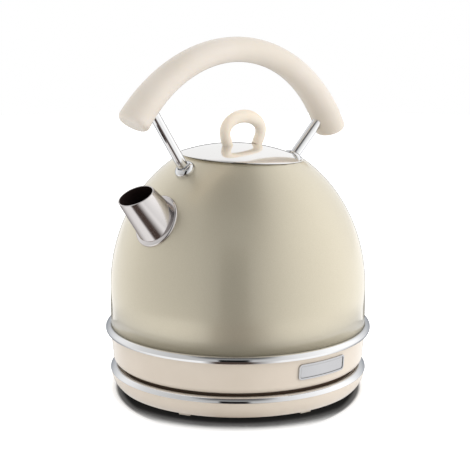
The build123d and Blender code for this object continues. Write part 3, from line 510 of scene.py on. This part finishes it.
# ---- Cord bush ----
# Bush of black rubber in the back wall of the base, where the supply cord would go in.
# Its collar holds it against the wall from outside.
bush_rubber, tree, shader = new_finish("bush_rubber", (0.035, 0.034, 0.033), 0, 0.65)
grain(tree, shader, speckle(tree, 800, 3), 0.00003, 0.5)
bush_bore = 0.0033
bush_body = 0.0044
bush_collar = 0.0050
collar_back = 0.0105
bush_length = 0.012
lip_round = 0.0007
bush_place = Matrix.Translation((0.0898, 0, 0.0085)) @ Matrix.Rotation(pi / 2, 4, "Y")
lip_middle = (bush_collar - lip_round, bush_length - lip_round)
bm = bmesh.new()
turn_outline(
    bm,
    [
        corner(bm, bush_bore, 0.0),
        corner(bm, bush_bore, bush_length),
        bent_run(bm, lip_middle, (lip_round, lip_round), pi / 2, 0, 5),
        corner(bm, bush_collar, collar_back),
        corner(bm, bush_body, collar_back),
        corner(bm, bush_body, 0.0),
    ],
    48,
)
bmesh.ops.transform(bm, matrix=bush_place, verts=bm.verts)
bush = made_piece(bm, "bush", bush_rubber)
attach(bush, "base")
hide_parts("cord_bush")

# ---- Kettle underside ----
# Moulded tray that the kettle stands on, screwed on from below. Its dark brown is painted
# shade for the gap between skirt and base ring. Above it are the black control, the cast
# spreader, the sheathed element, the steel floor plate in its silicone ring, and the steam tube.
painted_shade_tray, tree, shader = new_finish("painted_shade_tray", (0.075, 0.045, 0.026), 0, 0.5)
grain(tree, shader, speckle(tree, 900, 3), 0.00003, 0.4)
tree.links.new(drawn_between(tree, speckle(tree, 150, 3), 0.42, 0.58), shader.inputs["Roughness"])
dress(["bottom_cover"], painted_shade_tray)
dress(["thermostat_control"], black_moulding)
cast_metal, tree, shader = new_finish("cast_metal", (0.66, 0.66, 0.67), 1.0, 0.5)
grain(tree, shader, speckle(tree, 500, 4), 0.00006, 0.6)
dress(["heat_spreader"], cast_metal)
soft_silicone, tree, shader = new_finish("soft_silicone", (0.72, 0.72, 0.69), 0, 0.55)
grain(tree, shader, speckle(tree, 600, 2), 0.00003, 0.4)
dress(["plate_seal"], soft_silicone)
dress(["cover_screws", "heating_plate", "heating_element", "steam_tube"], plain_steel)

# ---- Skirt ----
# Skirt under the dome, moulded in ivory plastic, that tapers a little to a rounded foot.
# It has a slot at the back for the switch, and screws from below hold it to the tray.
skirt_top = 0.1003
skirt_foot = 0.0980
skirt_low = 0.0208
skirt_high = 0.0460
skirt_bend = 0.0050
skirt_slope = 0.095
foot_swell = 0.0004
foot_lift = 0.0001
foot_inside = 0.0930
flange_inside = 0.0816
flange_low = 0.0242
flange_high = 0.0266
wall_inside_low = 0.0956
wall_inside_high = 0.0979
foot_middle = (skirt_foot + foot_swell - skirt_bend, skirt_low + skirt_bend)
bm = bmesh.new()
turn_outline(
    bm,
    [
        corner(bm, skirt_top, skirt_high),
        bent_run(bm, foot_middle, (skirt_bend, skirt_bend), skirt_slope, -pi / 2, 14),
        corner(bm, foot_inside, skirt_low + foot_lift),
        corner(bm, foot_inside, flange_low),
        corner(bm, flange_inside, flange_low),
        corner(bm, flange_inside, flange_high),
        corner(bm, wall_inside_low, flange_high),
        corner(bm, wall_inside_high, skirt_high),
    ],
    256,
)
skirt = made_piece(bm, "skirt", ivory_moulding, 25)


def cut_away(piece, bm, name):
    """Cuts a shape out of a piece for good."""
    data = bpy.data.meshes.new(name)
    bm.to_mesh(data)
    bm.free()
    tool = bpy.data.objects.new(name, data)
    bpy.context.scene.collection.objects.link(tool)
    cut = piece.modifiers.new(name, "BOOLEAN")
    cut.operation = "DIFFERENCE"
    cut.object = tool
    cut.solver = "EXACT"
    bpy.context.view_layer.update()
    ready = piece.evaluated_get(bpy.context.evaluated_depsgraph_get())
    result = bpy.data.meshes.new_from_object(ready)
    piece.modifiers.clear()
    old = piece.data
    piece.data = result
    bpy.data.meshes.remove(old)
    bpy.data.objects.remove(tool)
    bpy.data.meshes.remove(data)


slot_low = Vector((0.0916, -0.0115, 0.0275))
slot_high = Vector((0.1046, 0.0115, 0.0370))
bm = bmesh.new()
bmesh.ops.create_cube(bm, size=1)
bmesh.ops.scale(bm, vec=slot_high - slot_low, verts=bm.verts)
bmesh.ops.translate(bm, vec=(slot_high + slot_low) / 2, verts=bm.verts)
cut_away(skirt, bm, "switch_slot")
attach(skirt, "kettle")
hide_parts("lower_skirt")

# ---- Bead ring ----
# Chrome-plated bead round the foot of the dome, with a flat flange on its inside that is
# clamped between dome and skirt.
dome_wide = 0.1000
dome_foot = 0.0480
bead = 0.0032
bead_reach = 0.1010
bead_inside = 0.0960
bead_middle = (bead_reach, dome_foot)
bead_foot_turn = -asin((dome_foot - skirt_high) / bead)
bead_top_turn = pi - acos((bead_reach - dome_wide) / bead)
bm = bmesh.new()
turn_outline(
    bm,
    [
        bent_run(bm, bead_middle, (bead, bead), bead_foot_turn, bead_top_turn, 26),
        corner(bm, dome_wide, dome_foot),
        corner(bm, bead_inside, dome_foot),
        corner(bm, bead_inside, skirt_high),
    ],
    288,
)
bead_ring = made_piece(bm, "bead_ring", bright_plate, 40)
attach(bead_ring, "kettle")
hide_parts("dome_trim_ring")

# ---- Dome ----
# Shell of the vessel, pressed from steel sheet, lacquered outside in a pearl cream and
# left bare inside. Its rim is turned down into the neck that takes the lid.
pearl_lacquer, tree, shader = new_finish("pearl_lacquer", (0.74, 0.68, 0.54), 0.75, 0.43)
flake = speckle(tree, 2600, 1)
shade = colour_steps(
    tree, flake, [(0.3, (0.715, 0.65, 0.50, 1)), (0.7, (0.765, 0.70, 0.55, 1))]
)
tree.links.new(shade, shader.inputs["Base Color"])
tree.links.new(drawn_between(tree, speckle(tree, 90, 3), 0.40, 0.46), shader.inputs["Roughness"])
grain(tree, shader, flake, 0.000008, 0.15)
shader.inputs["Coat Weight"].default_value = 0.9
shader.inputs["Coat Roughness"].default_value = 0.04
grain(tree, shader, speckle(tree, 420, 2), 0.000012, 0.25, "Coat Normal")
dome_spring = 0.0798
dome_rise = 0.1160
sheet = 0.0012
mouth_tip = radians(4.5)
mouth_shift = 0.0038
mouth_seat = 0.0476
neck_bore = 0.0420
neck_depth = 0.0090


def on_dome(reach):
    """Place on the dome so far back from its axis, and the way straight up from it there."""
    place = Vector((reach, 0, dome_spring + dome_rise * sqrt(1 - (reach / dome_wide) ** 2)))
    up = Vector((reach / dome_wide**2, 0, (place.z - dome_spring) / dome_rise**2))
    return place, up.normalized()


mouth_z = on_dome(mouth_seat)[0].z
mouth_place = Matrix.Translation((mouth_shift, 0, mouth_z)) @ Matrix.Rotation(mouth_tip, 4, "Y")
mouth_up = mouth_place.to_3x3() @ Vector((0, 0, 1))
mouth_middle = mouth_place.to_translation()
bm = bmesh.new()
turn_outline(
    bm,
    [
        corner(bm, dome_wide, dome_foot),
        bent_run(bm, (0, dome_spring), (dome_wide, dome_rise), 0, pi / 2, 96),
    ],
    256,
    closed=False,
)
bmesh.ops.bisect_plane(
    bm,
    geom=list(bm.verts) + list(bm.edges) + list(bm.faces),
    plane_co=mouth_middle,
    plane_no=mouth_up,
    clear_outer=True,
)
rim = [e for e in bm.edges if e.is_boundary and e.verts[0].co.z > dome_spring]
for level in (0.0, -neck_depth):
    grown = bmesh.ops.extrude_edge_only(bm, edges=rim)["geom"]
    rim = [part for part in grown if isinstance(part, bmesh.types.BMEdge)]
    for vert in [part for part in grown if isinstance(part, bmesh.types.BMVert)]:
        flat = mouth_place.inverted() @ vert.co
        spread = Vector((flat.x, flat.y, 0)).normalized() * neck_bore
        vert.co = mouth_place @ Vector((spread.x, spread.y, level))
bmesh.ops.recalc_face_normals(bm, faces=bm.faces)
shell = made_piece(bm, "shell", pearl_lacquer, 40)
shell.data.materials.append(plain_steel)
wall = shell.modifiers.new("wall", "SOLIDIFY")
wall.thickness = sheet
wall.offset = -1
wall.material_offset = 1
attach(shell, "kettle")
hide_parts("body_shell")

# ---- Spout ----
# Short tapered tube of brushed stainless steel, cut aslant at the lip, on a turned steel
# flange that lies on the dome. Both are soldered over the hole in the shell.
spout_rise = radians(48.4)
spout_out = Vector((-cos(spout_rise), 0, sin(spout_rise)))
spout_reach = -0.0836
spout_foot_wide = 0.0166
spout_mouth_wide = 0.0135
spout_wall = 0.0010
spout_length = 0.0283
spout_foot, spout_normal = on_dome(spout_reach)
spout_mouth = spout_foot + spout_out * spout_length
lip_slant = radians(16.4)
lip_rise = spout_rise + lip_slant


def stood_on(place, axis):
    """Matrix that stands a turned piece at a place, its own axis along the given one."""
    across = Vector((0, 1, 0))
    along_piece = axis.normalized()
    turned = Matrix((across.cross(along_piece), across, along_piece)).transposed()
    return Matrix.Translation(place) @ turned.to_4x4()


spout_steel, tree, shader = new_finish("spout_steel", (0.80, 0.765, 0.755), 1.0, 0.15)
brushing = speckle(tree, 260, 2)
tree.links.new(drawn_between(tree, brushing, 0.13, 0.18), shader.inputs["Roughness"])
grain(tree, shader, brushing, 0.000004, 0.1)
shader.inputs["Specular Tint"].default_value = (0.40, 0.38, 0.38, 1)
# the inside of the tube is near-black steel: painted shade standing in for the shadow deep in the
# bore
painted_shade_bore, tree, shader = new_finish("painted_shade_bore", (0.03, 0.017, 0.015), 0.3, 0.5)
tree.links.new(drawn_between(tree, speckle(tree, 300, 3), 0.42, 0.6), shader.inputs["Roughness"])
grain(tree, shader, speckle(tree, 500, 3), 0.00003, 0.4)
bm = bmesh.new()
slope = (spout_foot_wide - spout_mouth_wide) / spout_length
levels = (-0.004, 0.010, 0.020, 0.036)
turn_outline(
    bm,
    [corner(bm, spout_foot_wide - slope * level, level) for level in levels],
    128,
    closed=False,
)
bmesh.ops.transform(bm, matrix=stood_on(spout_foot, spout_out), verts=bm.verts)
bmesh.ops.bisect_plane(
    bm,
    geom=list(bm.verts) + list(bm.edges) + list(bm.faces),
    plane_co=spout_mouth,
    plane_no=(-cos(lip_rise), 0, sin(lip_rise)),
    clear_outer=True,
)
spout = made_piece(bm, "spout", spout_steel, 40)
spout.data.materials.append(painted_shade_bore)
wall = spout.modifiers.new("wall", "SOLIDIFY")
wall.thickness = spout_wall
wall.offset = -1
wall.material_offset = 1
softened(spout, 0.0003, 3, 50)
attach(spout, "kettle")
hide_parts("spout_tube")


def laid_on_dome(bm, foot, up):
    """Moves each point of a flat-footed piece along its axis until it lies on the dome."""
    shares = Vector((1 / dome_wide, 1 / dome_wide, 1 / dome_rise))
    climb = up * shares
    for vert in bm.verts:
        height = (vert.co - foot).dot(up)
        flat = vert.co - up * height
        start = (flat - Vector((0, 0, dome_spring))) * shares
        slant = start.dot(climb)
        short = start.dot(start) - 1
        square = climb.dot(climb)
        reach = (-slant + sqrt(slant * slant - square * short)) / square
        vert.co = flat + up * (reach + height)


flange_bore = 0.0150
flange_flat = 0.0180
flange_wide = 0.0205
flange_thick = 0.0020
flange_round = 0.0013
round_middle = (flange_wide - flange_round, flange_thick - flange_round)
bm = bmesh.new()
turn_outline(
    bm,
    [
        corner(bm, flange_bore, 0.0),
        corner(bm, flange_bore, flange_thick),
        corner(bm, flange_flat, flange_thick),
        bent_run(bm, round_middle, (flange_round, flange_round), pi / 2, 0, 8),
        corner(bm, flange_wide, 0.0),
    ],
    128,
)
bmesh.ops.transform(bm, matrix=stood_on(spout_foot, spout_normal), verts=bm.verts)
laid_on_dome(bm, spout_foot, spout_normal)
flange = made_piece(bm, "flange", spout_steel, 40)
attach(flange, "kettle")
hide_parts("spout_flange")

# the round hole in the shell behind the spout
hole_radius = spout_foot_wide - spout_wall
hole_depth = 0.024
bm = bmesh.new()
bmesh.ops.create_cone(
    bm,
    cap_ends=True,
    segments=64,
    radius1=hole_radius,
    radius2=hole_radius,
    depth=hole_depth,
    matrix=stood_on(spout_foot, spout_out),
)
cut_away(shell, bm, "spout_hole")
dress(["spout_filter"], plain_steel)

# ---- Posts and collars ----
# Two chrome-plated steel rods carry the grip. Each goes through the shell to a steel nut
# inside, and stands in a domed collar that hides its foot.
post_radius = 0.0041
post_sunk = 0.001
collar_bore = 0.0042
collar_high = 0.0046
collar_wide = 0.0078
bend_size = (0.0034, 0.0036)
bend_middle = (0.0044, 0.0012)
posts = {"front": (-0.05375, -33.25, 0.0660), "rear": (0.0585, 46.75, 0.0480)}
for place, (reach, lean, length) in posts.items():
    foot, normal = on_dome(reach)
    up = Vector((sin(radians(lean)), 0, cos(radians(lean))))
    bm = bmesh.new()
    bmesh.ops.create_cone(
        bm,
        cap_ends=True,
        segments=64,
        radius1=post_radius,
        radius2=post_radius,
        depth=length,
        matrix=stood_on(foot + up * (length / 2 - post_sunk), up),
    )
    rod = made_piece(bm, f"{place}_rod", bright_plate, 40)
    softened(rod, 0.0004)
    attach(rod, "kettle")
    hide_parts(f"{place}_post")

    bm = bmesh.new()
    turn_outline(
        bm,
        [
            corner(bm, collar_bore, 0.0),
            corner(bm, collar_bore, collar_high),
            bent_run(bm, bend_middle, bend_size, pi / 2, 0, 14),
            corner(bm, collar_wide, 0.0),
        ],
        96,
    )
    bmesh.ops.transform(bm, matrix=stood_on(foot, normal), verts=bm.verts)
    laid_on_dome(bm, foot, normal)
    collar = made_piece(bm, f"{place}_boss", bright_plate, 40)
    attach(collar, "kettle")
    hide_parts(f"{place}_collar")
dress(["front_nut", "rear_nut"], plain_steel)

# ---- Grip ----
# Arched grip moulded in a warm ivory plastic with a satin skin, thinnest in the middle
# and swelling to blunt rounded ends, which sit on the posts.
satin_moulding, tree, shader = new_finish("satin_moulding", (0.82, 0.72, 0.61), 0, 0.45)
satin_tints = [(0.35, (0.785, 0.71, 0.615, 1)), (0.65, (0.815, 0.74, 0.655, 1))]
shade = colour_steps(tree, speckle(tree, 28, 3), satin_tints)
tree.links.new(shade, shader.inputs["Base Color"])
tree.links.new(drawn_between(tree, speckle(tree, 180, 4), 0.40, 0.52), shader.inputs["Roughness"])
grain(tree, shader, speckle(tree, 1600, 3), 0.00002, 0.4)
shader.inputs["Coat Weight"].default_value = 0.4
shader.inputs["Coat Roughness"].default_value = 0.22
shader.inputs["Subsurface Weight"].default_value = 0.08
shader.inputs["Subsurface Radius"].default_value = (0.005, 0.0035, 0.002)
grip_middle = Vector((-0.0085, 0, 0.1451))
grip_bend = 0.1203
grip_from, grip_to = radians(23.0), radians(143.0)
high_middle, high_end = 0.0096, 0.0120
wide_middle, wide_end = 0.0105, 0.0134


def joined_rings(bm, rings):
    """Skins a row of equal rings and closes its ends."""
    loops = []
    for place in rings:
        ring = bmesh.ops.create_circle(bm, cap_ends=False, segments=48, radius=1, matrix=place)
        loops.append(ring["verts"])
    for ring, after in zip(loops, loops[1:]):
        edges = [e for v in ring + after for e in v.link_edges]
        pair = {e for e in edges if set(e.verts) <= set(ring) or set(e.verts) <= set(after)}
        bmesh.ops.bridge_loops(bm, edges=list(pair))
    for ring in (loops[0], loops[-1]):
        bmesh.ops.contextual_create(bm, geom=ring)
    bmesh.ops.recalc_face_normals(bm, faces=bm.faces)
    return loops


def ring_place(middle, first, second, size_first, size_second):
    """Matrix of an elliptical ring from its middle, its two directions and half sizes."""
    third = first.cross(second)
    turned = Matrix((first * size_first, second * size_second, third)).transposed().to_4x4()
    return Matrix.Translation(middle) @ turned


rings = []
grip_steps = 48
end_round = 0.0040
for step in range(grip_steps + 1):
    share = 2 * step / grip_steps - 1
    angle = (grip_from + grip_to) / 2 + share * (grip_to - grip_from) / 2
    radial = Vector((cos(angle), 0, sin(angle)))
    middle = grip_middle + radial * grip_bend
    half_high = high_middle + (high_end - high_middle) * share**2
    half_wide = wide_middle + (wide_end - wide_middle) * share**2
    rings.append(ring_place(middle, radial, Vector((0, 1, 0)), half_high, half_wide))
bm = bmesh.new()
loops = joined_rings(bm, rings)
end_edges = [e for ring in (loops[0], loops[-1]) for e in bm.edges if set(e.verts) <= set(ring)]
bmesh.ops.bevel(
    bm,
    geom=end_edges,
    offset=end_round,
    segments=8,
    profile=0.5,
    affect="EDGES",
    material=-1,
    clamp_overlap=False,
)
handle = made_piece(bm, "handle", satin_moulding, 50)
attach(handle, "kettle")
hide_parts("grip")

# ---- Badge ----
# Bare plate of satin silver metal with a raised rim, bent to the skirt and stuck to it.
# It carries no lettering.
badge_silver, tree, shader = new_finish("badge_silver", (0.74, 0.74, 0.75), 1.0, 0.22)
brushing = speckle(tree, 900, 2, (1, 1, 0.04))
tree.links.new(drawn_between(tree, brushing, 0.17, 0.26), shader.inputs["Roughness"])
# painted shade: the plate's colour darkens to near black where an occlusion test finds the skirt
# or its own rim close by
crease = tree.nodes.new("ShaderNodeAmbientOcclusion")
crease.samples = 8
crease.inputs["Distance"].default_value = 0.0012
silver_and_painted_shade = [(0.45, grey(0.10)), (0.8, grey(0.46)), (1.0, (0.62, 0.62, 0.635, 1))]
silver_with_painted_shade = colour_steps(tree, crease.outputs["AO"], silver_and_painted_shade)
tree.links.new(silver_with_painted_shade, shader.inputs["Base Color"])
grain(tree, shader, brushing, 0.000006, 0.2)
dress(["badge_plate"], badge_silver)

# ---- Lid ----
# Cap of polished steel with a thin rolled edge, over a plug that drops into the neck. It
# lies loose, with a silicone ring round the plug.
polished_lid, tree, shader = new_finish("polished_lid", (0.92, 0.91, 0.90), 1.0, 0.08)
tree.links.new(drawn_between(tree, speckle(tree, 70, 4), 0.05, 0.13), shader.inputs["Roughness"])
grain(tree, shader, speckle(tree, 160, 2), 0.00001, 0.15)
lid_wide = 0.0480
lid_under = 0.0003
crown_bend = 0.1290
crown_edge = 0.0472
crown_foot = 0.00125
apex = crown_foot + crown_bend - sqrt(crown_bend**2 - crown_edge**2)
crown_turn = asin(crown_edge / crown_bend)
inside_edge = 0.0456
inside_bend = crown_bend - sheet
inside_turn = asin(inside_edge / inside_bend)
crown_middle = (0, apex - crown_bend)
outer_size = (crown_bend, crown_bend)
inner_size = (inside_bend, inside_bend)
bm = bmesh.new()
turn_outline(
    bm,
    [
        bent_run(bm, crown_middle, outer_size, pi / 2, pi / 2 - crown_turn, 28),
        corner(bm, lid_wide, crown_foot - 0.0004),
        corner(bm, lid_wide, lid_under),
        corner(bm, inside_edge, lid_under),
        bent_run(bm, crown_middle, inner_size, pi / 2 - inside_turn, pi / 2, 16),
    ],
    192,
    closed=False,
)
bmesh.ops.transform(bm, matrix=mouth_place, verts=bm.verts)
cap = made_piece(bm, "cap", polished_lid, 30)
softened(cap, 0.0002)
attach(cap, "lid")
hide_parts("lid_dome")
dress(["lid_plug"], plain_steel)
dress(["lid_seal"], soft_silicone)

# ---- Knob ----
# Horseshoe loop moulded in ivory plastic, thickest at the top and waisted at the lid. Two
# screws from under the lid hold its feet.
knob_moulding, tree, shader = new_finish("knob_moulding", (0.86, 0.75, 0.62), 0, 0.32)
knob_tints = [(0.35, (0.93, 0.82, 0.68, 1)), (0.65, (0.95, 0.85, 0.72, 1))]
shade = colour_steps(tree, speckle(tree, 60, 3), knob_tints)
tree.links.new(shade, shader.inputs["Base Color"])
tree.links.new(drawn_between(tree, speckle(tree, 200, 3), 0.29, 0.38), shader.inputs["Roughness"])
grain(tree, shader, speckle(tree, 1500, 2), 0.00002, 0.3)
shader.inputs["Subsurface Weight"].default_value = 0.15
shader.inputs["Subsurface Radius"].default_value = (0.006, 0.004, 0.0025)
half_knob = 0.0187
half_foot = 0.0144
waist = 0.0198
knob_top = 0.0313
foot_level = apex - crown_bend + sqrt(crown_bend**2 - half_foot**2)
leg_drop = waist - foot_level + sheet
leg_rise = leg_drop / sqrt(1 - (half_foot / half_knob) ** 2)
leg_turn = asin(leg_drop / leg_rise)
screw_turn = radians(24.6)
screw_fill = 0.00038
screw_spread = radians(9)
leg_thick = 0.0037
top_swell = 0.0014
half_deep = 0.0041
rings = []
knob_steps = 64
for step in range(knob_steps + 1):
    share = step / knob_steps
    angle = -leg_turn + share * (pi + 2 * leg_turn)
    rise = knob_top - waist if 0 <= angle <= pi else leg_rise
    middle = Vector((half_knob * cos(angle), 0, waist + rise * sin(angle)))
    run = Vector((-half_knob * sin(angle), 0, rise * cos(angle))).normalized()
    # fuller on the inside of each leg, where the screw ends
    inward = run.cross(Vector((0, 1, 0)))
    fill = screw_fill * exp(-(((min(angle, pi - angle) + screw_turn) / screw_spread) ** 2))
    thick = leg_thick + top_swell * sin(pi * share) + fill
    rings.append(ring_place(middle + inward * fill, inward, Vector((0, 1, 0)), thick, half_deep))
bm = bmesh.new()
joined_rings(bm, rings)
bmesh.ops.transform(bm, matrix=mouth_place, verts=bm.verts)
loop = made_piece(bm, "loop", knob_moulding, 60)
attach(loop, "lid")
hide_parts("knob")
dress(["knob_screws"], plain_steel)

# ---- Switch ----
# Rocking lever of ivory plastic in the skirt's slot at the back, with a lens of clear amber
# plastic let into it. It turns on a steel pin in a black bracket.
dress(["switch_lever"], ivory_moulding)
dress(["switch_bracket"], black_moulding)
dress(["switch_pin"], plain_steel)
amber_lens, tree, shader = new_finish("amber_lens", (0.85, 0.36, 0.05), 0, 0.12)
shader.inputs["Transmission Weight"].default_value = 0.4
tree.links.new(drawn_between(tree, speckle(tree, 500, 2), 0.08, 0.18), shader.inputs["Roughness"])
dress(["switch_lens"], amber_lens)
